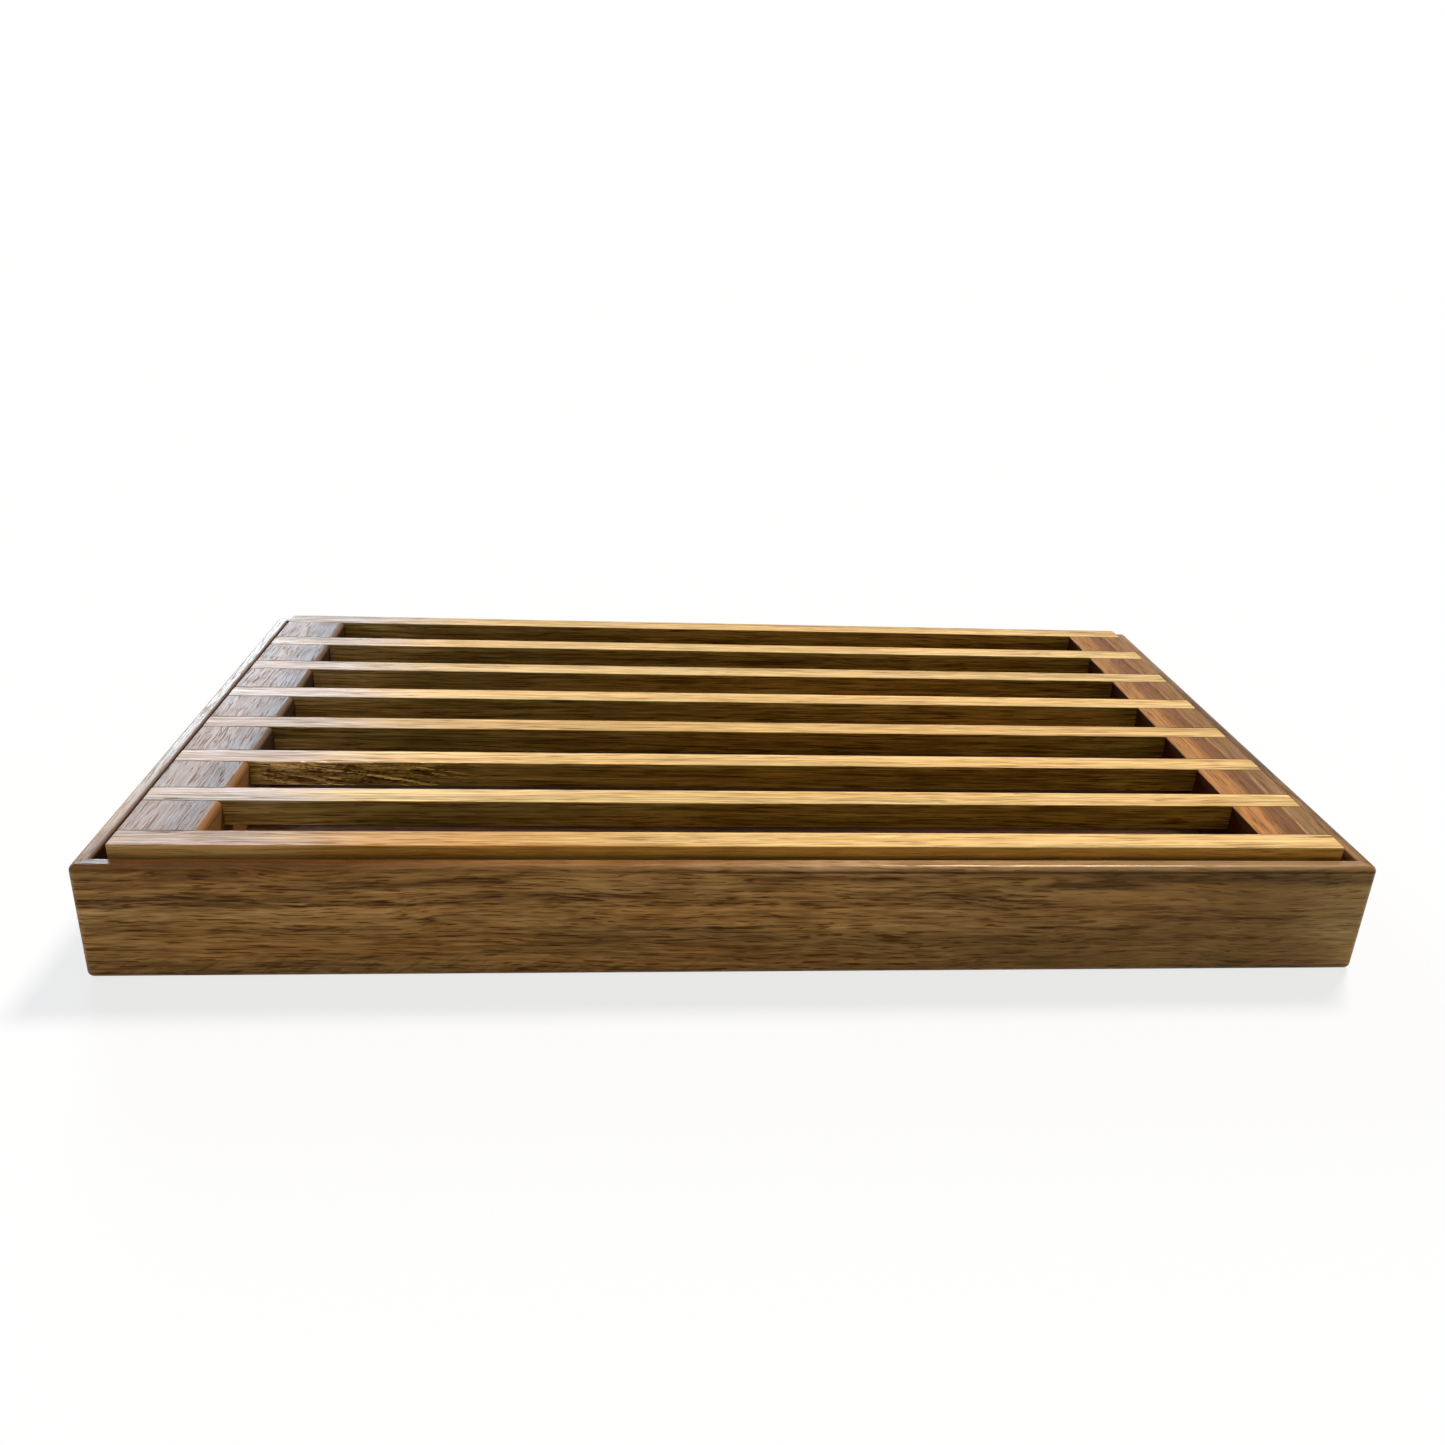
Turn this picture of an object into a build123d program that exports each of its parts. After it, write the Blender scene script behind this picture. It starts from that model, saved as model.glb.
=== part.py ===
"""Bread board: a slatted rack that lifts out of a shallow wooden crumb tray.

Millimetres, +Z up. The origin is on the table, under the middle of the tray, with X along its
length and -Y at its front.
"""

import os

from build123d import *

os.makedirs("parts", exist_ok=True)

# Tray walls
tray_length = 400.0
tray_depth = 212.0
tray_height = 39.0
wall_thickness = 5.0
corner_radius = 2.3
rim_outer_radius = 2.0
rim_inner_radius = 0.8
foot_radius = 2.2

# How far the shape that cuts the mitres runs past the walls
overrun = 1.0

# Tray floor, a board of edge-glued staves inside the walls
floor_thickness = 22.0
stave_count = 5

# Rack, resting on the floor, a little proud of the rim, with room to lift it out
rack_proud = 3.5
end_clearance = 3.7
side_clearance = 1.5

# Rack rails, notched from above for the slats
rail_width = 24.6
left_rail_inner_radius = 2.0
right_rail_inner_radius = 0.5
rail_outer_radius = 0.5
notch_clearance = 0.25

# Slats, glued into the notches flush with the tops of the rails
slat_count = 8
slat_width = 8.7
slat_height = 9.0
slat_end_radius = 1.0
slat_arris_radius = 0.4

# Places that follow from the sizes above
inner_length = tray_length - 2 * wall_thickness
inner_depth = tray_depth - 2 * wall_thickness
stave_width = inner_depth / stave_count
rack_length = inner_length - 2 * end_clearance
rack_depth = inner_depth - 2 * side_clearance
rack_top = tray_height + rack_proud
slat_seat = rack_top - slat_height
slat_pitch = (rack_depth - slat_width) / (slat_count - 1)


def slat_front(index):
    """Y of a slat's front face, counted from the front of the rack."""
    return -rack_depth / 2 + index * slat_pitch


def tray_wall(corners):
    """A wall, cut from the whole ring of walls by a mitre at each of its two corners."""
    far_x, far_y = tray_length / 2 + overrun, tray_depth / 2 + overrun
    near_x, near_y = inner_length / 2 - overrun, inner_depth / 2 - overrun
    outline = [(x * far_x, y * far_y) for x, y in corners]
    outline += [(x * near_x, y * near_y) for x, y in reversed(corners)]
    with BuildPart() as wall:
        with BuildSketch():
            RectangleRounded(tray_length, tray_depth, corner_radius)
            Rectangle(inner_length, inner_depth, mode=Mode.SUBTRACT)
        extrude(amount=tray_height)
        fillet(wall.faces().sort_by(Axis.Z)[-1].outer_wire().edges(), rim_outer_radius)
        fillet(wall.faces().sort_by(Axis.Z)[-1].inner_wires()[0].edges(), rim_inner_radius)
        fillet(wall.faces().sort_by(Axis.Z)[0].outer_wire().edges(), foot_radius)
        with BuildSketch():
            Polygon(*outline, align=None)
        extrude(amount=tray_height, mode=Mode.INTERSECT)
    return wall.part


def floor_stave(index):
    """A stave of the floor, its grain along the tray."""
    front = -inner_depth / 2 + index * stave_width
    with BuildPart() as stave:
        with BuildSketch(Plane((0, front, 0))):
            Rectangle(inner_length, stave_width, align=(Align.CENTER, Align.MIN))
        extrude(amount=floor_thickness)
    return stave.part


def rack_rail(side, inner_radius):
    """An end rail of the rack: a comb whose teeth stand between the slats."""
    low_x = side * (rack_length - rail_width) / 2 - rail_width / 2
    tooth_width = slat_pitch - slat_width - notch_clearance
    with BuildPart() as rail:
        with BuildSketch(Plane.YZ.offset(low_x)):
            with Locations((0, floor_thickness)):
                Rectangle(rack_depth, slat_seat - floor_thickness, align=(Align.CENTER, Align.MIN))
            for index in range(slat_count - 1):
                with Locations((slat_front(index) + slat_width, slat_seat)):
                    Rectangle(tooth_width, slat_height, align=(Align.MIN, Align.MIN))
        extrude(amount=rail_width)
        arrises = rail.edges().filter_by(Axis.Y).group_by(Axis.Z)[-1].group_by(Axis.X)
        inner, outer = (arrises[-1], arrises[0]) if side < 0 else (arrises[0], arrises[-1])
        fillet(inner, inner_radius)
        fillet(outer, rail_outer_radius)
    return rail.part


def rack_slat(index):
    """A slat across both rails, its arrises eased."""
    with BuildPart() as slat:
        with BuildSketch(Plane((0, slat_front(index) + slat_width / 2, slat_seat))):
            RectangleRounded(rack_length, slat_width, slat_end_radius)
        extrude(amount=slat_height)
        fillet(slat.faces().sort_by(Axis.Z)[-1].edges(), slat_arris_radius)
        fillet(slat.faces().sort_by(Axis.Z)[0].edges(), slat_arris_radius)
    return slat.part


def save(name, piece):
    """Label a finished piece and write it as its own STEP file."""
    piece.label = name
    export_step(piece, f"parts/{name}.step")


save("front_wall", tray_wall([(-1, -1), (1, -1)]))
save("back_wall", tray_wall([(-1, 1), (1, 1)]))
save("left_wall", tray_wall([(-1, -1), (-1, 1)]))
save("right_wall", tray_wall([(1, -1), (1, 1)]))

for number in range(stave_count):
    save(f"floor_stave_{number + 1}", floor_stave(number))

save("left_rail", rack_rail(-1, left_rail_inner_radius))
save("right_rail", rack_rail(1, right_rail_inner_radius))

for number in range(slat_count):
    save(f"slat_{number + 1}", rack_slat(number))
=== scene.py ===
import math
import random

import bmesh
import bpy
from mathutils import Matrix, Vector, noise

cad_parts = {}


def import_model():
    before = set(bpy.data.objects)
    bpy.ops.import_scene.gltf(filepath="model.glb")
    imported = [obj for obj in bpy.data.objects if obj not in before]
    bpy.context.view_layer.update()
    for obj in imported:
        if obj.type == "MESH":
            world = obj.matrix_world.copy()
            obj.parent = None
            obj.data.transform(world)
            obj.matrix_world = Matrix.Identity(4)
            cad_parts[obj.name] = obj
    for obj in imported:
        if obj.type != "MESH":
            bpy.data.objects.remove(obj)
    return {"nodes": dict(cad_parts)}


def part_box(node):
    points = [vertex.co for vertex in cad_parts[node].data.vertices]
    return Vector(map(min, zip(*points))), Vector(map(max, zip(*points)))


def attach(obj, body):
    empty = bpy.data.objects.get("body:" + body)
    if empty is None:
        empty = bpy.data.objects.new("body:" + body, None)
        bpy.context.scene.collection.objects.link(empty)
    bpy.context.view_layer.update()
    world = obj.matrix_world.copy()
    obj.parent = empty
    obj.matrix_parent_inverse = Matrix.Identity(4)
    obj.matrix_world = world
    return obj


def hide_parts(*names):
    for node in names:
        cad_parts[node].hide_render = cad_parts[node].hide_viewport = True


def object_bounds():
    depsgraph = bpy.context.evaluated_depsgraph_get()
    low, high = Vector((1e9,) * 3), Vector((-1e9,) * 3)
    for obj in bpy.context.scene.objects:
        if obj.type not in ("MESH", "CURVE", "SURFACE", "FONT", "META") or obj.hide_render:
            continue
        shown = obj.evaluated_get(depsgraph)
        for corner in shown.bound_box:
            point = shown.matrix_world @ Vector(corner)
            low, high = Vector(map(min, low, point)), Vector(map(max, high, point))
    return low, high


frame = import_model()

cad_low, cad_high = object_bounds()
nodes = frame["nodes"]

# Tones, as linear red, green and blue
FRONT_TONE = (0.338, 0.172, 0.049)
FRONT_STREAK = (0.106, 0.043, 0.008)
BACK_TONE = (0.240, 0.122, 0.037)
LEFT_TONE = (0.205, 0.092, 0.042)
RIGHT_TONE = (0.245, 0.120, 0.040)
SIDE_STREAK = (0.085, 0.034, 0.014)
# The tray floor's dark tone is partly its own and partly painted shade
FLOOR_TONE_WITH_SHADE = (0.090, 0.037, 0.013)
FLOOR_STREAK = (0.045, 0.021, 0.010)
SLAT_TONE = (0.67, 0.426, 0.158)
SLAT_STREAK = (0.42, 0.225, 0.062)
RAIL_STREAK = (0.090, 0.036, 0.012)
SHEEN_TONE = (1.0, 0.72, 0.34)
WHITE = (1.0, 1.0, 1.0)

# How light each slat is, from the front one to the back one
SLAT_SHADES = (1.00, 1.00, 1.03, 0.97, 1.02, 0.93, 1.00, 0.96)

# Tones across a rail: share of its width from the inner side, and tone
RIGHT_RAIL_TONES = (
    (0.00, (0.40, 0.165, 0.040)),
    (0.30, (0.35, 0.142, 0.032)),
    (0.42, (0.18, 0.060, 0.011)),
    (0.64, (0.12, 0.037, 0.007)),
    (0.68, (0.31, 0.155, 0.048)),
    (0.72, (0.21, 0.096, 0.029)),
    (1.00, (0.24, 0.112, 0.033)),
)
LEFT_RAIL_TONES = (
    (0.00, (0.11, 0.055, 0.029)),
    (0.14, (0.11, 0.055, 0.030)),
    (0.34, (0.14, 0.077, 0.047)),
    (0.60, (0.22, 0.123, 0.072)),
    (1.00, (0.20, 0.108, 0.060)),
)

# Tints: what a tone is multiplied by. Some are the wood's own colour, and many are painted light and
# shade, as the comments below say.
# Of two tints the first is the front slat's and the second is for the other slats.
# Painted shade: the slats' front faces darker and greener
SLAT_FRONT_SHADE_TINTS = ((0.67, 0.54, 0.26), (0.53, 0.52, 0.25))
# Painted light: the front slat's front face lighter low down
SLAT_FOOT_LIGHT_TINT = (1.50, 1.55, 1.50)
SLAT_SHADED_TINT = (0.74, 0.90, 1.45)
# Painted shade: the slats' back faces darker
SLAT_BACK_SHADE_TINT = (0.86, 0.76, 0.70)
# Painted shadow with a painted cool reflection: the slat tops greyer and bluer at their left ends
SLAT_END_SHADOW_AND_GLARE_TINTS = ((0.62, 0.74, 1.95), (0.66, 0.74, 1.48))
# Painted light: the slats' front faces lighter and bluer at their left ends
SLAT_FRONT_END_LIGHT_TINTS = ((1.42, 1.70, 3.20), (2.05, 2.15, 2.90))
# Painted half shade: the front slat's top darker and more golden to the left
SLAT_HALF_SHADE_TINT = (0.76, 0.60, 0.35)
# Painted shade in the torn face's pits
PIT_SHADE_TINT = (0.40, 0.27, 0.18)
TEAR_HEAD_TINT = (1.60, 1.65, 1.75)
# Painted highlight on the torn face's splinters
SPLINTER_HIGHLIGHT_TINT = (1.40, 1.40, 1.40)
# Pale torn fibres, partly a painted highlight
SHRED_PALE_AND_HIGHLIGHT_TINT = (3.20, 3.30, 4.20)
# Wear and a painted highlight: the slats' arrises lighter
ARRIS_WEAR_AND_HIGHLIGHT_TINT = (1.14, 1.12, 1.10)
# Painted shade: the right rail's side faces darker
RAIL_SIDE_SHADE_TINT = (0.18, 0.11, 0.09)
# Painted light: the left rail's inner arris warm at the front
RAIL_FRONT_LIGHT_TINT = (2.00, 1.78, 1.10)
# Painted shade: the left rail's inner faces dark further back
RAIL_BACK_SHADE_TINT = (0.30, 0.30, 0.32)
RIM_TINT = (1.12, 1.12, 1.50)
# Painted shadow on the left end of the front's rim
RIM_LEFT_SHADOW_TINT = (0.36, 0.29, 0.20)
# Painted highlight on the right half of the front's rim
RIM_HIGHLIGHT_TINT = (1.75, 2.20, 3.10)
# Painted shade: a dark line along the rim's rounding, under its painted highlight
RIM_LINE_SHADE_TINT = (0.36, 0.32, 0.24)
# Painted cool reflection on the left wall's rim, paler towards the back
LEFT_RIM_GLARE_TINT = (2.15, 3.45, 5.20)
LEFT_RIM_INNER_TINT = (0.50, 0.42, 0.42)
# Painted light: the front lighter towards its foot
FRONT_FOOT_LIGHT_TINT = (1.12, 1.12, 1.08)
# Painted shade: the front darker towards its head
FRONT_HEAD_SHADE_TINT = (0.80, 0.74, 0.66)
FRONT_RIGHT_TINT = (0.82, 0.82, 0.78)
FRONT_CALM_TINT = (0.76, 0.79, 0.82)
# Painted reflection: the front lighter and bluer at its right end
FRONT_END_REFLECTION_TINT = (1.35, 1.62, 2.05)
BRUSHED_TINT = (0.62, 0.60, 0.52)
# Painted shade: the walls' inner faces darker
WALL_INSIDE_SHADE_TINT = (0.30, 0.25, 0.23)
LEFT_INSIDE_SHADE_TINT = (0.15, 0.12, 0.11)
END_GRAIN_TINT = (0.62, 0.55, 0.50)
PORE_TINT = (0.38, 0.27, 0.08)
WARM_TINT = (1.04, 0.97, 0.88)
COOL_TINT = (0.97, 1.02, 1.08)

# Grain: length and width of a layer's features in metres, detail and roughness of its noise
WANDER_GRAIN = (0.11, 0.045, 2.0)
RIPPLE_GRAIN = (0.032, 0.014, 1.0)
BROAD_GRAIN = (0.28, 0.0085, 2.0)
LINE_GRAIN = (0.060, 0.0026, 1.0)
STREAK_GRAIN = (0.20, 0.0042, 2.0, 0.60)
FIBRE_GRAIN = (0.015, 0.0011, 2.0, 0.64)
PORE_GRAIN = (0.0095, 0.00056, 1.0, 0.50)
FIGURE_GRAIN = (0.011, 0.030, 2.0)
WARMTH_GRAIN = (0.13, 0.012, 2.0)
HEART_DRIFT_GRAIN = (0.022, 0.010, 2.0)
HEART_EDGE_GRAIN = (0.006, 0.0010, 2.0)
BLEND_GRAIN = (0.03, 0.004)
RAIL_GRAIN = (0.05, 0.012)
DASH_GRAIN = (0.0075, 0.0013, 2.0)
SHRED_GRAIN = (0.036, 0.0008, 1.0)

# The range of a layer's noise that is stretched to 0 to 1
BAND_RANGE = (0.34, 0.66)
STREAK_RANGE = (0.47, 0.68)
FIBRE_RANGE = (0.35, 0.65)
FIGURE_RANGE = (0.32, 0.68)
WARMTH_RANGE = (0.36, 0.64)
DASH_RANGE = (0.50, 0.68)
SHRED_RANGE = (0.57, 0.65)

# How far noise moves the grain, the bands or the edge of a tone, in metres
WANDER_SWAY = 0.008
RIPPLE_SWAY = 0.0020
HEART_DRIFT_SWAY = 0.004
HEART_EDGE_SWAY = 0.002
BLEND_SWAY = 0.06
RAIL_SWAY = 0.006
RAIL_BAND_SHARE = 0.03

# Pores open where their noise passes a level, which is lower in streaks, and the opposite end of
# the same noise makes pale threads
PORE_LEVEL = 0.595
PORE_STREAK_DROP = -0.10
PORE_SHARPNESS = 14.0
THREAD_LEVEL = 5.7
PORE_STRENGTH = 0.90

# Lightness of the wood: its level and what each layer of the grain adds, and the powers that make
# the dark parts redder
LIGHT_LEVEL = -0.52
BROAD_LIGHT = 0.30
LINE_LIGHT = 0.22
FIBRE_LIGHT = 0.46
THREAD_LIGHT = 0.20
FIGURE_LIGHT = 0.08
MEAN_LIGHT = 1.02
SHADE_POWERS = (1.0, 1.12, 1.5)
STREAK_LEVEL = 1.22
FIBRE_STREAK = -0.45

# Roughness and relief: level, and what each layer adds
ROUGH_LEVEL = 0.43
FIBRE_ROUGH = -0.07
FIGURE_ROUGH = 0.05
PORE_ROUGH = 0.25
END_ROUGH = 0.15
TEAR_ROUGH = 0.30
RIM_ROUGH = -0.17
HEIGHT_LEVEL = 0.6
FIBRE_HEIGHT = 0.35
PORE_HEIGHT = -0.6
FIGURE_HEIGHT = 0.25
BUMP_STRENGTH = 0.5
BUMP_RIM_CHANGE = -0.38
BUMP_DISTANCE = 0.00016

# Contrast and fineness of the grain, and how far a piece's place and tilt in the tree may vary
SLAT_FINENESS = (0.60, 1.60, 1.60)
SLAT_FRONT_CONTRASTS = (-0.35, 0.7)
FRONT_CALM_CONTRAST = -0.40
TREE_REACH = 2
TREE_TILT = 1.2
RIM_SMOOTHNESS = 0.45
RIM_SHADE = 0.85
LEFT_RIM_SMOOTHNESS = 0.50

# Sheen: refraction, and level of the reflection on satin pieces and on duller ones
REFRACTION = 1.48
SATIN_SHEEN = 0.25
DULL_SHEEN = 0.13

# The way a face looks, as a part of its normal, from no effect to full effect
SIDE_FACING = (0.80, 0.25)
FRONT_FACING = (-0.30, -0.80)
BACK_FACING = (0.30, 0.80)
TORN_FACING = (-0.20, -0.55)
RAIL_INNER_FACING = (0.10, 0.50)
INWARD_FACING = (0.70, 0.95)
END_FACING = (0.75, 0.98)
ARRIS_SCALE = 4.0

# Where tones change, in metres, from no effect to full effect
RIM_Z = (0.0374, 0.0386)
# Painted shadow on the left end of the front's rim
RIM_LEFT_SHADOW_Z = (0.0381, 0.0390)
RIM_LEFT_SHADOW_X = (-0.050, -0.150)
# Painted highlight on the right half of the front's rim
RIM_HIGHLIGHT_Z = (0.0374, 0.0383)
RIM_HIGHLIGHT_X = (-0.035, 0.045)
RIM_HIGHLIGHT_END_X = (0.250, 0.155)
# Painted shade line along the rim's rounding
RIM_LINE_LOW_Z = (0.0367, 0.0371)
RIM_LINE_HIGH_Z = (0.0378, 0.0374)
RIM_LINE_X = (-0.090, 0.020)
RIM_BUMP_Z = (0.0370, 0.0380)
# Painted light towards the foot and painted shade towards the head of the front
FRONT_FOOT_LIGHT_Z = (0.030, 0.004)
FRONT_HEAD_SHADE_Z = (0.030, 0.036)
FACE_Z = (0.0378, 0.0362)
FRONT_RIGHT_X = (0.000, 0.100)
FRONT_CALM_X = (0.110, 0.150)
FRONT_CALM_Z = (0.008, 0.022)
FRONT_CONTRAST_X = (0.04, 0.14)
# Painted reflection at the right end of the front
FRONT_END_REFLECTION_X = (0.165, 0.205)
BRUSHED_X = (0.080, -0.080)
BRUSHED_Z = (0.0110, 0.0035)
# Painted shade on the right wall's inner face, below its top
RIGHT_INSIDE_SHADE_Z = (0.037, 0.029)
# Painted cool reflection on the left wall's rim
LEFT_RIM_GLARE_Y = (-0.118, -0.070)
LEFT_RIM_INNER_X = (-0.1970, -0.1958)
LEFT_RIM_POLISH_Y = (-0.090, -0.020)
RAIL_BAND_X = (-0.1700, -0.1682)
# Painted light at the front and painted shade further back on the left rail
RAIL_FRONT_LIGHT_Y = (-0.036, -0.046)
RAIL_BACK_SHADE_Y = (-0.046, -0.036)
SLAT_LEFT_X = (-0.115, -0.160)
# Painted half shade on the front slat's top
SLAT_HALF_SHADE_X = (0.010, -0.100)
SLAT_SHADED_X = (0.020, -0.110)
# Painted light low on the front slat's front face
SLAT_FOOT_LIGHT_Z = (0.0413, 0.0393)

# Slant of the dashes that sanding left along the foot of the front, in degrees
BRUSHED_SLANT = 28

# Dark bands along the front: start, end, height and width in metres, and strength
HEART_BANDS = (
    (-0.240, -0.125, 0.0272, 0.0046, 0.80),
    (-0.150, -0.075, 0.0262, 0.0012, 1.00),
    (-0.215, -0.100, 0.0175, 0.0018, 0.50),
    (-0.140, -0.060, 0.0335, 0.0030, 0.40),
    (-0.095, -0.020, 0.0290, 0.0036, 0.72),
    (-0.040, 0.015, 0.0268, 0.0020, 0.80),
    (-0.075, -0.035, 0.0140, 0.0050, 0.50),
    (-0.050, 0.025, 0.0170, 0.0012, 0.80),
    (-0.010, 0.060, 0.0350, 0.0016, 0.60),
    (0.020, 0.090, 0.0285, 0.0040, 0.66),
    (0.085, 0.130, 0.0325, 0.0032, 0.90),
    (0.095, 0.215, 0.0352, 0.0036, 0.66),
    (0.080, 0.135, 0.0170, 0.0014, 0.80),
    (0.110, 0.190, 0.0203, 0.0022, 0.66),
)

# A band's soft edge, as shares of its width, and its fade at each end, as a share of its length
HEART_BAND_EDGE = (0.75, 0.15)
HEART_BAND_FADE = 0.25

# The slat whose front face is torn, and the tear's ends, depth, mesh step and slope, in metres
TORN_SLAT = "slat_3"
TORN_FROM = -0.166
TORN_TO = -0.080
TEAR_DEPTH = 0.0006
TEAR_STEP = 0.0008
TEAR_SLOPE = 0.15

# The tear's shape: how it fades out, and length, width and noise place of its two kinds of pit
TEAR_LEFT_FADE = 0.005
TEAR_RIGHT_FADE = 0.035
TEAR_RIM_FADE = 0.0012
SLIVER_SIZE = (0.013, 0.0009)
SLIVER_PLACE = 3.0
SLIVER_FRACTAL = (0.6, 2.0, 4)
PATCH_SIZE = (0.022, 0.0045)
PATCH_PLACE = 9.0
TEAR_LEVEL = 0.45
SLIVER_WEIGHT = 1.3
PATCH_WEIGHT = 0.6
FACE_TOLERANCE = 1e-5
SHARP_ANGLE = 40

# The tear's tones by depth behind the face and by place, from no effect to full effect
TEAR_REACH = (0.0020, 0.0012)
PIT_REACH = (0.00018, 0.00055)
SPLINTER_REACH = (0.00014, 0.00002)
TEAR_TONE_LEFT_X = (TORN_FROM, TORN_FROM + 0.005)
TEAR_TONE_RIGHT_X = (TORN_TO, TORN_TO - 0.030)
TEAR_HEAD_Z = (0.0375, 0.0410)
TEAR_HEAD_X = (-0.085, -0.115)

# The photograph's camera, in metres, radians and its own pixels
PHOTO_SIZE = 1445
CAMERA_PLACE = (-0.03734, -0.40652, 0.22768)
CAMERA_YAW = 0.09354
CAMERA_PITCH = 0.37516
CAMERA_ROLL = -0.05145
FOCAL_PIXELS = 1157.40
CENTRE_PIXEL = (736.05, 653.36)
SENSOR_WIDTH = 36.0
NEAR_CLIP = 0.01

# Pieces oiled to a satin sheen, with the slats; the rest are duller
SATIN = ("front_wall", "back_wall", "left_rail")

# The slat nearest the front
FRONT_SLAT = "slat_1"

# The way that each wall's inner face looks
INWARD = {
    "front_wall": (0, 1, 0),
    "back_wall": (0, -1, 0),
    "left_wall": (1, 0, 0),
    "right_wall": (-1, 0, 0),
}

# Light: direction it comes from in degrees, strength, and apparent size in degrees
KEY_LIGHT = dict(azimuth=38, elevation=57, strength=3.35, size=13, colour=(1.0, 0.96, 0.89))
WINDOW_LIGHT = dict(azimuth=-24, elevation=21, strength=1.55, size=22, colour=(0.56, 0.77, 1.0))
FILL_STRENGTH = 0.15
UNDER_STRENGTH = 0.7

# Studio floor: size and inset of its opening in metres, tone, and share of plain white
STUDIO_SIZE = 12.0
STUDIO_INSET = 0.004
STUDIO_TONE = (0.88, 0.88, 0.88)
STUDIO_GLOW = 0.78


def link_or_set(tree, socket, value):
    """Feeds a node's input from another node, or sets its value."""
    if isinstance(value, bpy.types.NodeSocket):
        tree.links.new(value, socket)
    else:
        socket.default_value = value


def add(tree, kind, inputs=(), **settings):
    """A new node with its settings and inputs."""
    node = tree.nodes.new(kind)
    for name, value in settings.items():
        setattr(node, name, value)
    for key, value in dict(inputs).items():
        link_or_set(tree, node.inputs[key], value)
    return node


def math_node(tree, operation, *values, clamp=False):
    """The result of a sum on numbers or sockets."""
    node = add(tree, "ShaderNodeMath", enumerate(values), operation=operation, use_clamp=clamp)
    return node.outputs[0]


def vector_node(tree, operation, first, second):
    """A sum on two vectors, as its node's outputs."""
    return add(tree, "ShaderNodeVectorMath", {0: first, 1: second}, operation=operation).outputs


def separate(tree, vector):
    """The X, Y and Z of a vector."""
    return add(tree, "ShaderNodeSeparateXYZ", {0: vector}).outputs


def product(tree, first, *others):
    """Values multiplied together."""
    for other in others:
        first = math_node(tree, "MULTIPLY", first, other)
    return first


def weighted(tree, level, *layers):
    """A level plus each layer times its weight."""
    for value, weight in layers:
        level = math_node(tree, "MULTIPLY_ADD", value, weight, level)
    return level


def centred(tree, value, size):
    """Noise from 0 to 1, moved to either side of zero and made that large."""
    return math_node(tree, "MULTIPLY_ADD", value, size, -size / 2)


def spread(tree, value, low, high):
    """A value's range from low to high, stretched smoothly to 0 to 1."""
    inputs = {"Value": value, "From Min": low, "From Max": high}
    return add(tree, "ShaderNodeMapRange", inputs, interpolation_type="SMOOTHSTEP").outputs[0]


def zone(tree, *limits):
    """One where each value is past its range, fading to zero across the range."""
    return product(tree, *(spread(tree, value, *ends) for value, ends in limits))


def mix(tree, factor, first, second, blend="MIX"):
    """Two colours mixed."""
    node = tree.nodes.new("ShaderNodeMix")
    node.data_type = "RGBA"
    node.blend_type = blend
    for index, value in ((0, factor), (6, first), (7, second)):
        link_or_set(tree, node.inputs[index], value)
    return node.outputs[2]


def rgba(colour, scale=1.0):
    """A tone as the four numbers that a colour input takes."""
    return (*(channel * scale for channel in colour), 1.0)


def tint(tree, colour, *tints):
    """A colour multiplied by each tint in turn, as far as the tint's factor says."""
    for factor, by in tints:
        tinted = mix(tree, 1.0, colour, rgba(by), "MULTIPLY")
        colour = mix(tree, factor, colour, tinted)
    return colour


def facing(tree, spot, way):
    """How far a face looks a given way: 1 straight along it, and -1 the other way."""
    return vector_node(tree, "DOT_PRODUCT", spot["Normal"], way)["Value"]


def grain_noise(tree, vector, along, across, detail=2.0, roughness=0.55):
    """Noise drawn out along the fibres, its features that long and that wide in metres."""
    drawn = vector_node(tree, "MULTIPLY", vector, (1 / along, 1 / across, 1 / across))[0]
    inputs = {"Vector": drawn, "Scale": 1.0, "Detail": detail, "Roughness": roughness}
    return add(tree, "ShaderNodeTexNoise", inputs).outputs[0]


def layer(tree, vector, grain, ends):
    """One layer of the grain, from 0 to 1."""
    return spread(tree, grain_noise(tree, vector, *grain), *ends)


def swayed(tree, path, vector, grain, sway):
    """A path through the wood, moved sideways by noise."""
    shift = centred(tree, grain_noise(tree, vector, *grain), sway)
    offset = add(tree, "ShaderNodeCombineXYZ", {"Y": shift, "Z": shift}).outputs[0]
    return vector_node(tree, "ADD", path, offset)[0]


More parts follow.
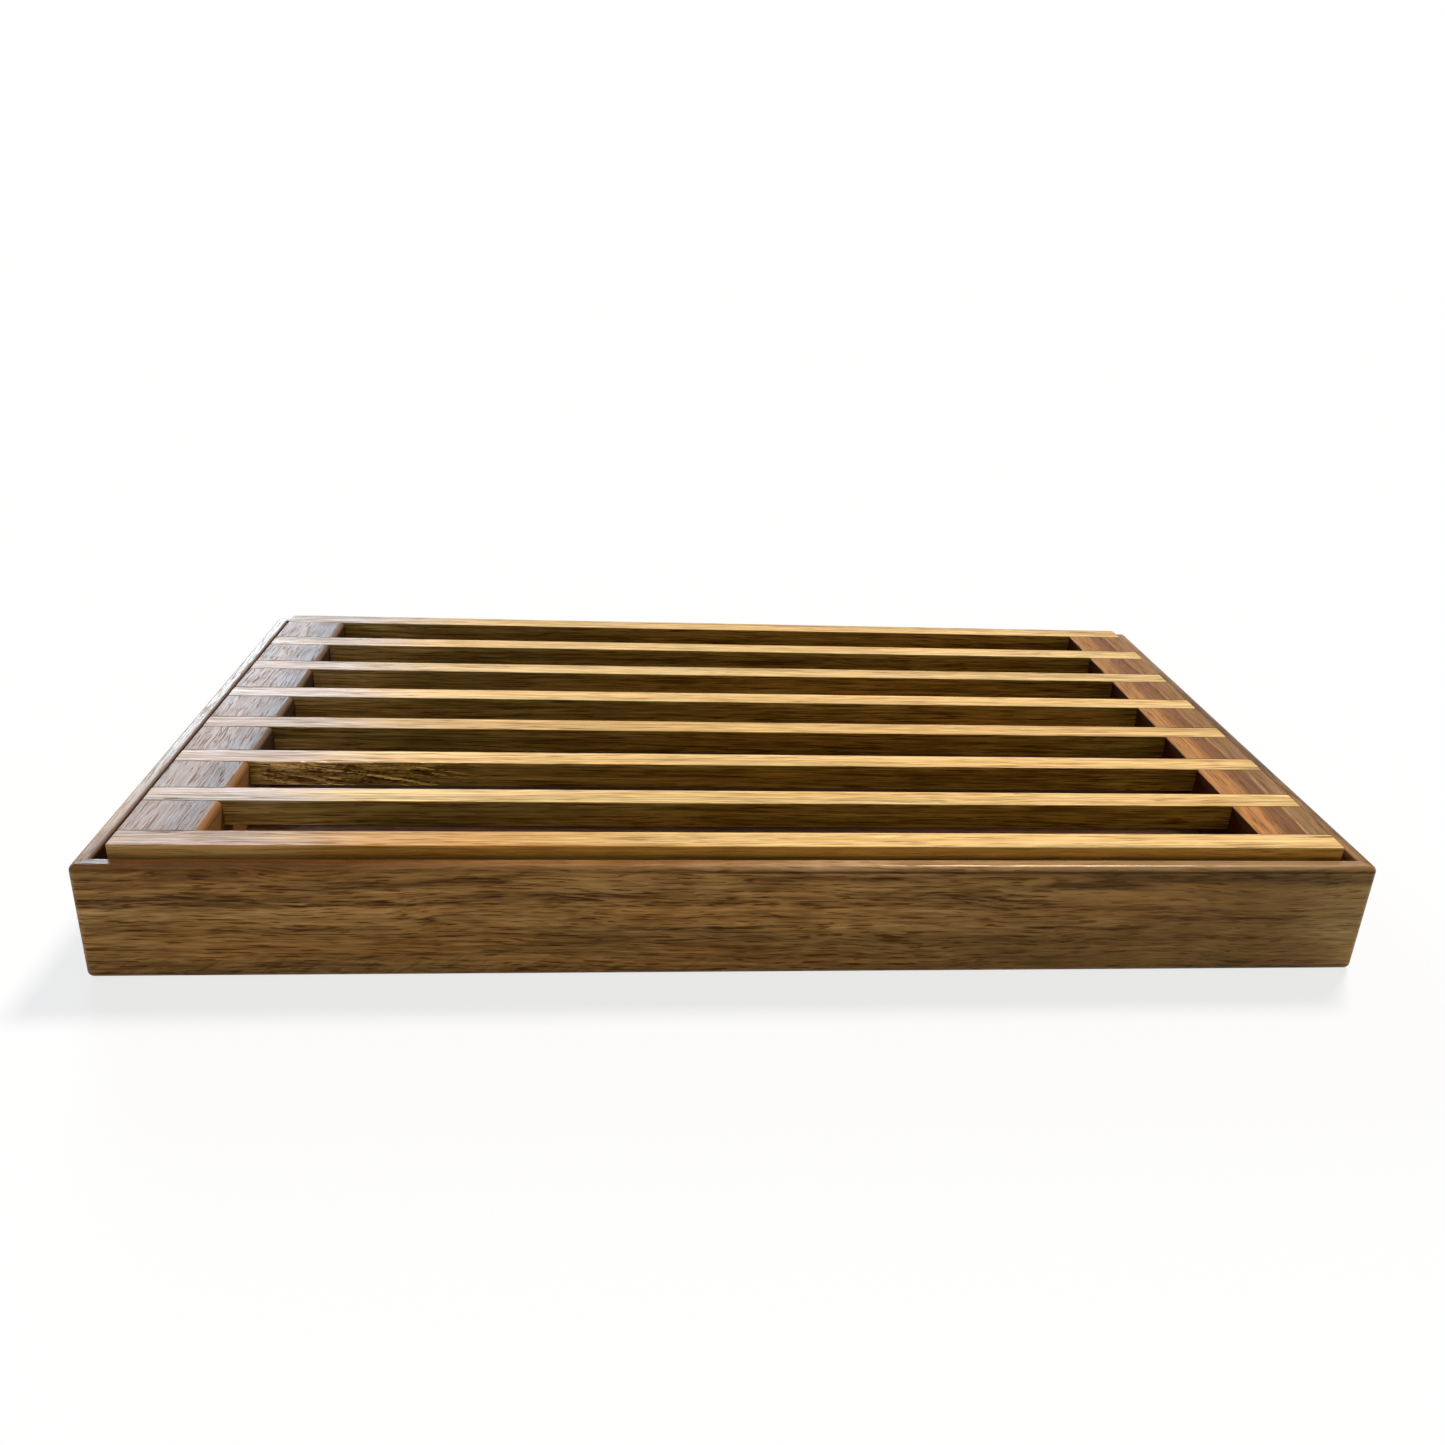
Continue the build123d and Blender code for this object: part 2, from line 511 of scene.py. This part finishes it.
def wood_group():
    """Solid wood with its fibres along x: colour, roughness and relief at a point in metres."""
    tree = bpy.data.node_groups.new("open_grained_wood", "ShaderNodeTree")
    for name, way, kind in (
        ("Vector", "INPUT", "Vector"),
        ("Tone", "INPUT", "Color"),
        ("Streak Tone", "INPUT", "Color"),
        ("Streaks", "INPUT", "Float"),
        ("Contrast", "INPUT", "Float"),
        ("Heartwood", "INPUT", "Float"),
        ("Color", "OUTPUT", "Color"),
        ("Roughness", "OUTPUT", "Float"),
        ("Height", "OUTPUT", "Float"),
    ):
        tree.interface.new_socket(name, in_out=way, socket_type="NodeSocket" + kind)
    source = tree.nodes.new("NodeGroupInput").outputs
    vector, tone, streak_tone, amount, contrast, heartwood = (source[n] for n in range(6))

    # The fibres wander a little from side to side
    path = swayed(tree, vector, vector, WANDER_GRAIN, WANDER_SWAY)
    path = swayed(tree, path, vector, RIPPLE_GRAIN, RIPPLE_SWAY)

    broad = layer(tree, path, BROAD_GRAIN, BAND_RANGE)
    line = layer(tree, path, LINE_GRAIN, BAND_RANGE)
    fibre = layer(tree, path, FIBRE_GRAIN, FIBRE_RANGE)
    figure = layer(tree, vector, FIGURE_GRAIN, FIGURE_RANGE)
    streak = product(tree, layer(tree, path, STREAK_GRAIN, STREAK_RANGE), amount)
    streak = math_node(tree, "MAXIMUM", streak, heartwood)
    pore_noise = grain_noise(tree, path, *PORE_GRAIN)
    threshold = weighted(tree, PORE_LEVEL, (streak, PORE_STREAK_DROP))
    pore_excess = math_node(tree, "SUBTRACT", pore_noise, threshold)
    pore = math_node(tree, "MULTIPLY", pore_excess, PORE_SHARPNESS, clamp=True)
    thread = math_node(tree, "MULTIPLY_ADD", pore_noise, -PORE_SHARPNESS, THREAD_LEVEL, clamp=True)

    # Growth bands and fibres lighten and darken the tone
    light = weighted(
        tree,
        LIGHT_LEVEL,
        (broad, BROAD_LIGHT),
        (line, LINE_LIGHT),
        (fibre, FIBRE_LIGHT),
        (thread, THREAD_LIGHT),
        (figure, FIGURE_LIGHT),
    )
    light = weighted(tree, MEAN_LIGHT, (light, contrast))
    warmed = [math_node(tree, "POWER", light, power) for power in SHADE_POWERS]
    shade = add(tree, "ShaderNodeCombineColor", enumerate(warmed)).outputs[0]
    colour = mix(tree, 1.0, tone, shade, "MULTIPLY")
    warmth = layer(tree, path, WARMTH_GRAIN, WARMTH_RANGE)
    hue = mix(tree, warmth, rgba(COOL_TINT), rgba(WARM_TINT))
    colour = mix(tree, 1.0, colour, hue, "MULTIPLY")

    # Streaks bring in heartwood, and pores are darkest
    streaked = weighted(tree, STREAK_LEVEL, (fibre, FIBRE_STREAK))
    streaked = math_node(tree, "MULTIPLY", streaked, streak, clamp=True)
    colour = mix(tree, streaked, colour, streak_tone)
    pored = product(tree, pore, PORE_STRENGTH)
    pored = math_node(tree, "MULTIPLY", pored, contrast, clamp=True)
    colour = tint(tree, colour, (pored, PORE_TINT))

    rough = weighted(
        tree,
        ROUGH_LEVEL,
        (fibre, FIBRE_ROUGH),
        (figure, FIGURE_ROUGH),
        (pore, PORE_ROUGH),
    )
    height = weighted(
        tree,
        HEIGHT_LEVEL,
        (fibre, FIBRE_HEIGHT),
        (pore, PORE_HEIGHT),
        (figure, FIGURE_HEIGHT),
    )
    result = tree.nodes.new("NodeGroupOutput")
    for index, value in enumerate((colour, rough, height)):
        tree.links.new(value, result.inputs[index])
    return tree


def wood(name, turn=0.0, tone=None, tones=None, streak_tone=None, streaks=0.8, contrast=1.0,
         fineness=(1.0, 1.0, 1.0)):
    """Wood for one piece, cut from its own place in the tree, with its grain turned from X."""
    draw = random.Random(name)
    origin = [draw.uniform(-TREE_REACH, TREE_REACH) for _ in range(3)]
    tilt = [math.radians(draw.uniform(-TREE_TILT, TREE_TILT)) for _ in range(2)]
    material = bpy.data.materials.new(name + "_wood")
    material.use_nodes = True
    tree = material.node_tree
    shader = tree.nodes["Principled BSDF"]
    shader.inputs["IOR"].default_value = REFRACTION
    shader.inputs["Specular IOR Level"].default_value = SATIN_SHEEN if is_satin(name) else DULL_SHEEN
    shader.inputs["Specular Tint"].default_value = rgba(SHEEN_TONE)
    spot = tree.nodes.new("ShaderNodeTexCoord").outputs
    place = separate(tree, spot["Object"])
    normal = separate(tree, spot["Normal"])
    turned = {
        "Vector": spot["Object"],
        "Location": origin,
        "Rotation": (*tilt, -turn),
        "Scale": fineness,
    }
    grain = add(tree, "ShaderNodeMapping", turned).outputs[0]
    tone_source = across_tones(tree, name, place, grain, tones) if tones else rgba(tone)
    heartwood = 0.0
    bump_strength = BUMP_STRENGTH
    if name.startswith("slat"):
        front = spread(tree, normal["Y"], *FRONT_FACING)
        change = SLAT_FRONT_CONTRASTS[name != FRONT_SLAT] * contrast
        contrast = weighted(tree, contrast, (front, change))
    if name == "front_wall":
        heartwood = heart_bands(tree, spot["Object"], place)
        right = spread(tree, place["X"], *FRONT_CONTRAST_X)
        contrast = weighted(tree, contrast, (right, FRONT_CALM_CONTRAST * contrast))
        rim = spread(tree, place["Z"], *RIM_BUMP_Z)
        bump_strength = weighted(tree, BUMP_STRENGTH, (rim, BUMP_RIM_CHANGE))
    group = add(tree, "ShaderNodeGroup", node_tree=WOOD)
    values = (grain, tone_source, rgba(streak_tone), streaks, contrast, heartwood)
    for index, value in enumerate(values):
        link_or_set(tree, group.inputs[index], value)
    colour, rough = finish(tree, name, spot, place, normal, grain, *group.outputs[:2])

    # End grain drinks more oil, so it is darker and duller
    lengthwise = facing(tree, spot, (math.cos(turn), math.sin(turn), 0.0))
    end = spread(tree, math_node(tree, "ABSOLUTE", lengthwise), *END_FACING)
    tree.links.new(tint(tree, colour, (end, END_GRAIN_TINT)), shader.inputs["Base Color"])
    tree.links.new(weighted(tree, rough, (end, END_ROUGH)), shader.inputs["Roughness"])
    relief = {"Strength": bump_strength, "Distance": BUMP_DISTANCE, "Height": group.outputs[2]}
    bump = add(tree, "ShaderNodeBump", relief)
    tree.links.new(bump.outputs[0], shader.inputs["Normal"])
    return material


def is_satin(name):
    """Whether a piece has the sheen of well-oiled wood."""
    return name in SATIN or name.startswith("slat")


def across_tones(tree, name, place, grain, tones):
    """Tones laid across a rail, from its inner side to its outer side."""
    low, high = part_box(name)
    inner, outer = (low.x, high.x) if low.x > 0 else (high.x, low.x)
    wobble = centred(tree, grain_noise(tree, grain, *RAIL_GRAIN), RAIL_SWAY)
    x = math_node(tree, "ADD", place["X"], wobble)
    share = math_node(tree, "DIVIDE", math_node(tree, "SUBTRACT", x, inner), outer - inner)
    ramp = add(tree, "ShaderNodeValToRGB", {0: share})
    stops = ramp.color_ramp.elements
    stops.remove(stops[1])
    for index, (position, colour) in enumerate(tones):
        stop = stops[0] if index == 0 else stops.new(position)
        stop.position = position
        stop.color = rgba(colour)
    return ramp.outputs[0]


def heart_bands(tree, spot, place):
    """Dark bands along the front, where its board was cut through heartwood."""
    drift = grain_noise(tree, spot, *HEART_DRIFT_GRAIN)
    ragged = grain_noise(tree, spot, *HEART_EDGE_GRAIN)
    sways = ((drift, HEART_DRIFT_SWAY), (ragged, HEART_EDGE_SWAY))
    height = weighted(tree, place["Z"], *sways)
    lift = (HEART_DRIFT_SWAY + HEART_EDGE_SWAY) / 2
    total = 0.0
    for start, end, level, width, strength in HEART_BANDS:
        away = math_node(tree, "ABSOLUTE", math_node(tree, "SUBTRACT", height, level + lift))
        edge = [width * share for share in HEART_BAND_EDGE]
        fade = (end - start) * HEART_BAND_FADE
        ends = ((place["X"], (start, start + fade)), (place["X"], (end, end - fade)))
        band = product(tree, zone(tree, (away, edge), *ends), strength)
        total = math_node(tree, "MAXIMUM", total, band)
    return total


def finish(tree, name, spot, place, normal, grain, colour, rough):
    """The changes of tone and sheen for one kind of piece, many of them painted light and shade."""
    side = spread(tree, normal["Z"], *SIDE_FACING)
    wobble = centred(tree, grain_noise(tree, grain, *BLEND_GRAIN), BLEND_SWAY)
    along = math_node(tree, "ADD", place["X"], wobble)
    if name.startswith("slat"):
        colour = slat_tones(tree, name, place, normal, side, along, colour)
    if name == TORN_SLAT:
        colour, rough = torn(tree, spot, place, normal, colour, rough)
    if name == "right_rail":
        # Painted shade on the right rail's side faces
        colour = tint(tree, colour, (side, RAIL_SIDE_SHADE_TINT))
    if name == "left_rail":
        colour = left_rail_tones(tree, place, normal, side, wobble, colour)
    if name in INWARD:
        colour, rough = wall_tones(tree, name, spot, place, colour, rough)
    if name == "front_wall":
        colour = front_tones(tree, spot, place, along, colour)
    return colour, rough


def left_rail_tones(tree, place, normal, side, wobble, colour):
    """The left rail's tones: painted light, warm, along the front of its inner arris, and painted
    shade, dark, on its inner faces further back.
    """
    band = weighted(tree, place["X"], (wobble, RAIL_BAND_SHARE))
    # Painted light along the front of the inner arris
    warm = zone(tree, (band, RAIL_BAND_X), (place["Y"], RAIL_FRONT_LIGHT_Y))
    # Painted shade on the inner faces further back
    inner = zone(tree, (place["Y"], RAIL_BACK_SHADE_Y), (normal["X"], RAIL_INNER_FACING))
    back = product(tree, side, inner)
    return tint(tree, colour, (warm, RAIL_FRONT_LIGHT_TINT), (back, RAIL_BACK_SHADE_TINT))


def wall_tones(tree, name, spot, place, colour, rough):
    """A wall's tones: painted shade on its inner face, and a polished rim; the left wall's rim is
    evened out, carries a painted cool reflection towards the back and is darker along its inner
    edge.
    """
    inward = spread(tree, facing(tree, spot, INWARD[name]), *INWARD_FACING)
    if name == "right_wall":
        inward = product(tree, inward, spread(tree, place["Z"], *RIGHT_INSIDE_SHADE_Z))
    # Painted shade on the inner face; on the right wall only below its top
    inside_shade = LEFT_INSIDE_SHADE_TINT if name == "left_wall" else WALL_INSIDE_SHADE_TINT
    colour = tint(tree, colour, (inward, inside_shade))
    rim = spread(tree, place["Z"], *RIM_Z)
    polish = rim
    if name == "left_wall":
        smooth = product(tree, rim, LEFT_RIM_SMOOTHNESS)
        colour = mix(tree, smooth, colour, rgba(LEFT_TONE))
        # Painted cool reflection on the left wall's rim, paler towards the back
        pale = product(tree, rim, spread(tree, place["Y"], *LEFT_RIM_GLARE_Y))
        inner = product(tree, rim, spread(tree, place["X"], *LEFT_RIM_INNER_X))
        colour = tint(tree, colour, (pale, LEFT_RIM_GLARE_TINT), (inner, LEFT_RIM_INNER_TINT))
        polish = product(tree, rim, spread(tree, place["Y"], *LEFT_RIM_POLISH_Y))
    return colour, weighted(tree, rough, (polish, RIM_ROUGH))


def front_tones(tree, spot, place, along, colour):
    """The front's tones: its rim from left to right, with a painted shadow on the left and a painted
    highlight above a painted shade line on the right half; painted shade at its head and painted
    light at its foot; and a painted reflection at its right end.
    """
    height = place["Z"]
    rim = spread(tree, height, *RIM_Z)
    smooth = product(tree, rim, RIM_SMOOTHNESS)
    colour = mix(tree, smooth, colour, rgba(FRONT_TONE, RIM_SHADE))
    # Painted shadow on the left end of the rim
    left = zone(tree, (height, RIM_LEFT_SHADOW_Z), (along, RIM_LEFT_SHADOW_X))
    # Painted highlight on the right half of the rim
    right = zone(tree, (height, RIM_HIGHLIGHT_Z), (along, RIM_HIGHLIGHT_X), (along, RIM_HIGHLIGHT_END_X))
    # Painted shade line along the rounding, under the painted highlight
    line = zone(tree, (height, RIM_LINE_LOW_Z), (height, RIM_LINE_HIGH_Z), (along, RIM_LINE_X))
    calm = zone(tree, (along, FRONT_CALM_X), (height, FRONT_CALM_Z), (height, FACE_Z))
    # Painted reflection at the right end of the face
    end = zone(tree, (height, FACE_Z), (along, FRONT_END_REFLECTION_X))
    return tint(
        tree,
        colour,
        (rim, RIM_TINT),
        (left, RIM_LEFT_SHADOW_TINT),
        (right, RIM_HIGHLIGHT_TINT),
        (line, RIM_LINE_SHADE_TINT),
        # Painted light towards the foot and painted shade towards the head
        (spread(tree, height, *FRONT_FOOT_LIGHT_Z), FRONT_FOOT_LIGHT_TINT),
        (spread(tree, height, *FRONT_HEAD_SHADE_Z), FRONT_HEAD_SHADE_TINT),
        (brushed(tree, spot, place), BRUSHED_TINT),
        (spread(tree, along, *FRONT_RIGHT_X), FRONT_RIGHT_TINT),
        (calm, FRONT_CALM_TINT),
        (end, FRONT_END_REFLECTION_TINT),
    )


def brushed(tree, spot, place):
    """Short slanting dashes along the foot of the front, left by its sanding."""
    slant = {"Vector": spot["Object"], "Rotation": (0.0, math.radians(BRUSHED_SLANT), 0.0)}
    turned = add(tree, "ShaderNodeMapping", slant).outputs[0]
    low = zone(tree, (place["Z"], BRUSHED_Z), (place["X"], BRUSHED_X))
    return product(tree, layer(tree, turned, DASH_GRAIN, DASH_RANGE), low)


def slat_tones(tree, name, place, normal, side, along, colour):
    """A slat's tones, mostly painted light and shade: painted half shade on the front slat's top to
    the left, a painted shadow with a painted cool reflection on the tops' left ends, painted shade
    on the front faces (darker and greener) and on the back faces, a painted shadow on the other
    slats' fronts to the left, painted light low on the front slat's front and on the fronts' left
    ends, and arrises lighter by wear and a painted highlight.
    """
    other = int(name != FRONT_SLAT)
    top = math_node(tree, "SUBTRACT", 1.0, side)
    left = spread(tree, along, *SLAT_LEFT_X)
    front = spread(tree, normal["Y"], *FRONT_FACING)
    # The back faces get painted shade
    back = spread(tree, normal["Y"], *BACK_FACING)
    if not other:
        # Painted half shade on the front slat's top, to the left
        half_shade = product(tree, top, spread(tree, along, *SLAT_HALF_SHADE_X))
        colour = tint(tree, colour, (half_shade, SLAT_HALF_SHADE_TINT))
    # Painted shadow with a painted cool reflection on the tops' left ends
    end = product(tree, top, left)
    # Painted shade: the front faces darker and greener
    colour = tint(tree, colour, (end, SLAT_END_SHADOW_AND_GLARE_TINTS[other]), (front, SLAT_FRONT_SHADE_TINTS[other]))
    if other:
        shaded = product(tree, front, spread(tree, along, *SLAT_SHADED_X))
        colour = tint(tree, colour, (shaded, SLAT_SHADED_TINT))
    else:
        # Painted light low on the front slat's front face, against the wall's shade
        foot = product(tree, front, spread(tree, place["Z"], *SLAT_FOOT_LIGHT_Z))
        colour = tint(tree, colour, (foot, SLAT_FOOT_LIGHT_TINT))
    # Painted light on the front faces' left ends
    front_end_light = product(tree, front, left)
    # Arrises lighter by wear and a painted highlight
    arris = product(tree, side, top, ARRIS_SCALE)
    return tint(
        tree,
        colour,
        (front_end_light, SLAT_FRONT_END_LIGHT_TINTS[other]),
        (back, SLAT_BACK_SHADE_TINT),
        (arris, ARRIS_WEAR_AND_HIGHLIGHT_TINT),
    )


def torn(tree, spot, place, normal, colour, rough):
    """Pits and splinters in the torn part of a slat's front, found by their depth: painted shade in
    the pits and a painted highlight on the splinters.
    """
    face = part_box(TORN_SLAT)[0].y
    depth = math_node(tree, "SUBTRACT", place["Y"], face)
    near = zone(
        tree,
        (normal["Y"], TORN_FACING),
        (depth, TEAR_REACH),
        (place["X"], TEAR_TONE_LEFT_X),
        (place["X"], TEAR_TONE_RIGHT_X),
    )
    # Painted shade in the pits and a painted highlight on the splinters
    pit = product(tree, near, spread(tree, depth, *PIT_REACH))
    splinter = product(tree, near, spread(tree, depth, *SPLINTER_REACH))

    # Torn fibres stand out pale, partly as a painted highlight, in lines that run down to the right,
    # and the upper part is paler
    slant = {"Vector": spot["Object"], "Rotation": (0.0, -math.atan(TEAR_SLOPE), 0.0)}
    slanted = add(tree, "ShaderNodeMapping", slant).outputs[0]
    shreds = product(tree, near, layer(tree, slanted, SHRED_GRAIN, SHRED_RANGE))
    head = product(tree, near, zone(tree, (place["Z"], TEAR_HEAD_Z), (place["X"], TEAR_HEAD_X)))
    colour = tint(
        tree,
        colour,
        (pit, PIT_SHADE_TINT),
        (splinter, SPLINTER_HIGHLIGHT_TINT),
        (head, TEAR_HEAD_TINT),
        (shreds, SHRED_PALE_AND_HIGHLIGHT_TINT),
    )
    return colour, math_node(tree, "MULTIPLY_ADD", near, TEAR_ROUGH, rough, clamp=True)


def dress():
    """Gives each piece its wood."""
    across = math.pi / 2
    wall = dict(streak_tone=FRONT_STREAK, streaks=0.45, contrast=1.3)
    paint("front_wall", tone=FRONT_TONE, **wall)
    paint("back_wall", tone=BACK_TONE, **wall)
    side = dict(turn=across, streak_tone=SIDE_STREAK)
    paint("left_wall", tone=LEFT_TONE, streaks=0.35, contrast=0.6, **side)
    paint("right_wall", tone=RIGHT_TONE, **side)
    for name in sorted(n for n in nodes if n.startswith("floor_stave")):
        paint(name, tone=FLOOR_TONE_WITH_SHADE, streak_tone=FLOOR_STREAK)
    rail = dict(turn=across, streak_tone=RAIL_STREAK)
    paint("left_rail", tones=LEFT_RAIL_TONES, streaks=0.0, contrast=0.25, **rail)
    paint("right_rail", tones=RIGHT_RAIL_TONES, streaks=0.3, contrast=0.7, **rail)
    slat = dict(streak_tone=SLAT_STREAK, streaks=0.40, contrast=0.95, fineness=SLAT_FINENESS)
    for number, shade in enumerate(SLAT_SHADES, start=1):
        paint(f"slat_{number}", tone=[channel * shade for channel in SLAT_TONE], **slat)


def paint(name, **look):
    """Puts a piece's own wood on its node's slot."""
    nodes[name].material_slots[0].material = wood(name, **look)


def tear_slat():
    """A copy of one slat, its front face torn along the grain by blunt machining."""
    original = nodes[TORN_SLAT]
    low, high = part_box(TORN_SLAT)
    body = bmesh.new()
    body.from_mesh(original.data)
    steps = round((TORN_TO - TORN_FROM) / TEAR_STEP)
    for step in range(steps + 1):
        cut = (TORN_FROM + step * TEAR_STEP, 0, 0)
        everything = body.verts[:] + body.edges[:] + body.faces[:]
        bmesh.ops.bisect_plane(body, geom=everything, plane_co=cut, plane_no=(1, 0, 0))
    rows = round((high.z - low.z) / TEAR_STEP * 2)
    for row in range(1, rows):
        cut = (0, 0, low.z + row * (high.z - low.z) / rows)
        front = [f for f in body.faces if is_torn(f.calc_center_median(), low)]
        edges = {edge for face in front for edge in face.edges}
        corners = {vert for face in front for vert in face.verts}
        parts = [*corners, *edges, *front]
        bmesh.ops.bisect_plane(body, geom=parts, plane_co=cut, plane_no=(0, 0, 1))
    for vert in body.verts:
        if is_torn(vert.co, low):
            vert.co.y += tear_depth(vert.co, low, high)
    mesh = bpy.data.meshes.new(TORN_SLAT + "_torn")
    body.to_mesh(mesh)
    body.free()
    if "custom_normal" in mesh.attributes:
        mesh.attributes.remove(mesh.attributes["custom_normal"])
    mesh.shade_smooth()
    mesh.set_sharp_from_angle(angle=math.radians(SHARP_ANGLE))
    mesh.materials.clear()
    mesh.materials.append(original.material_slots[0].material)
    piece = bpy.data.objects.new(mesh.name, mesh)
    bpy.context.scene.collection.objects.link(piece)
    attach(piece, "rack")
    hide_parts(TORN_SLAT)


def is_torn(point, low):
    """Whether a point is on the slat's front face, within the torn part."""
    return abs(point.y - low.y) < FACE_TOLERANCE and TORN_FROM < point.x < TORN_TO


def tear_depth(point, low, high):
    """How far the torn face lies behind the clean one at a point."""
    drift = point.z + TEAR_SLOPE * point.x
    sliver_spot = Vector((point.x / SLIVER_SIZE[0], drift / SLIVER_SIZE[1], SLIVER_PLACE))
    patch_spot = Vector((point.x / PATCH_SIZE[0], drift / PATCH_SIZE[1], PATCH_PLACE))
    slivers = noise.fractal(sliver_spot, *SLIVER_FRACTAL)
    patches = noise.noise(patch_spot)
    from_left = (point.x - TORN_FROM) / TEAR_LEFT_FADE
    from_right = (TORN_TO - point.x) / TEAR_RIGHT_FADE
    ends = min(from_left, from_right, 1.0)
    rims = min((point.z - low.z) / TEAR_RIM_FADE, (high.z - point.z) / TEAR_RIM_FADE, 1.0)
    share = TEAR_LEVEL + SLIVER_WEIGHT * slivers + PATCH_WEIGHT * patches
    return TEAR_DEPTH * max(ends * rims, 0.0) * min(max(share, 0.0), 1.0)


def sun(name, azimuth, elevation, strength, size, colour):
    """A soft light at infinity. Azimuth 0 comes from behind the object, 90 from its right."""
    light = bpy.data.lights.new(name, "SUN")
    light.energy = strength
    light.angle = math.radians(size)
    light.color = colour
    lamp = bpy.data.objects.new(name, light)
    bpy.context.scene.collection.objects.link(lamp)
    turn, lift = math.radians(azimuth), math.radians(elevation)
    level = math.cos(lift)
    source = Vector((math.sin(turn) * level, math.cos(turn) * level, math.sin(lift)))
    lamp.rotation_euler = (-source).to_track_quat("-Z", "Y").to_euler()


def floor():
    """A pale floor past the horizon of any view, near white but for the object's shadow.

    It is seen from above only, and is open under the tray, so that the underside shows too.
    """
    half = STUDIO_SIZE / 2
    hole = [side - math.copysign(STUDIO_INSET, side) for side in (*cad_low[:2], *cad_high[:2])]
    outer = [(-half, -half, 0), (half, -half, 0), (half, half, 0), (-half, half, 0)]
    inner = [(hole[x], hole[y], 0) for x, y in ((0, 1), (2, 1), (2, 3), (0, 3))]
    faces = [(n, (n + 1) % 4, (n + 1) % 4 + 4, n + 4) for n in range(4)]
    mesh = bpy.data.meshes.new("studio_floor")
    mesh.from_pydata(outer + inner, [], faces)
    plane = bpy.data.objects.new("studio_floor", mesh)
    bpy.context.scene.collection.objects.link(plane)
    material = bpy.data.materials.new("studio_floor")
    material.use_nodes = True
    tree = material.node_tree
    shader = tree.nodes["Principled BSDF"]
    shader.inputs["Base Color"].default_value = rgba(STUDIO_TONE)
    shader.inputs["Roughness"].default_value = 1.0
    shader.inputs["Specular IOR Level"].default_value = 0.0
    glow = add(tree, "ShaderNodeEmission", {"Color": rgba(WHITE), "Strength": 1.0})
    share = product(tree, seen_rays(tree), STUDIO_GLOW)
    lit = add(tree, "ShaderNodeMixShader", {0: share, 1: shader.outputs[0], 2: glow.outputs[0]})
    below = tree.nodes.new("ShaderNodeNewGeometry").outputs["Backfacing"]
    clear = tree.nodes.new("ShaderNodeBsdfTransparent").outputs[0]
    blend = add(tree, "ShaderNodeMixShader", {0: below, 1: lit.outputs[0], 2: clear})
    tree.links.new(blend.outputs[0], tree.nodes["Material Output"].inputs["Surface"])
    mesh.materials.append(material)


def seen_rays(tree):
    """One for rays that show the surround: straight to the camera, or by a reflection."""
    path = tree.nodes.new("ShaderNodeLightPath").outputs
    seen = math_node(tree, "MAXIMUM", path["Is Camera Ray"], path["Is Glossy Ray"])
    return math_node(tree, "MAXIMUM", seen, path["Is Transmission Ray"])


def world():
    """A white surround: bright where it is seen, and as a light faint above and stronger below."""
    surround = bpy.data.worlds.new("studio")
    bpy.context.scene.world = surround
    surround.use_nodes = True
    tree = surround.node_tree
    direction = tree.nodes.new("ShaderNodeTexCoord").outputs["Generated"]
    under = math_node(tree, "LESS_THAN", separate(tree, direction)["Z"], 0.0)
    light = weighted(tree, FILL_STRENGTH, (under, UNDER_STRENGTH - FILL_STRENGTH))
    strength = math_node(tree, "MAXIMUM", seen_rays(tree), light)
    background = tree.nodes["Background"]
    background.inputs["Color"].default_value = rgba(WHITE)
    tree.links.new(strength, background.inputs["Strength"])


def camera():
    """The photograph's viewpoint."""
    lens = bpy.data.cameras.new("camera")
    lens.sensor_width = SENSOR_WIDTH
    lens.lens = FOCAL_PIXELS / PHOTO_SIZE * SENSOR_WIDTH
    lens.shift_x = 0.5 - CENTRE_PIXEL[0] / PHOTO_SIZE
    lens.shift_y = CENTRE_PIXEL[1] / PHOTO_SIZE - 0.5
    lens.clip_start = NEAR_CLIP
    holder = bpy.data.objects.new("camera", lens)
    bpy.context.scene.collection.objects.link(holder)
    turn = Matrix.Rotation(-CAMERA_YAW, 4, "Z")
    tip = Matrix.Rotation(math.pi / 2 - CAMERA_PITCH, 4, "X")
    roll = Matrix.Rotation(-CAMERA_ROLL, 4, "Z")
    holder.matrix_world = Matrix.Translation(CAMERA_PLACE) @ turn @ tip @ roll
    bpy.context.scene.camera = holder


WOOD = wood_group()
dress()
tear_slat()
sun("key", **KEY_LIGHT)
sun("window", **WINDOW_LIGHT)
floor()
world()
camera()
bpy.context.scene.view_settings.view_transform = "Standard"
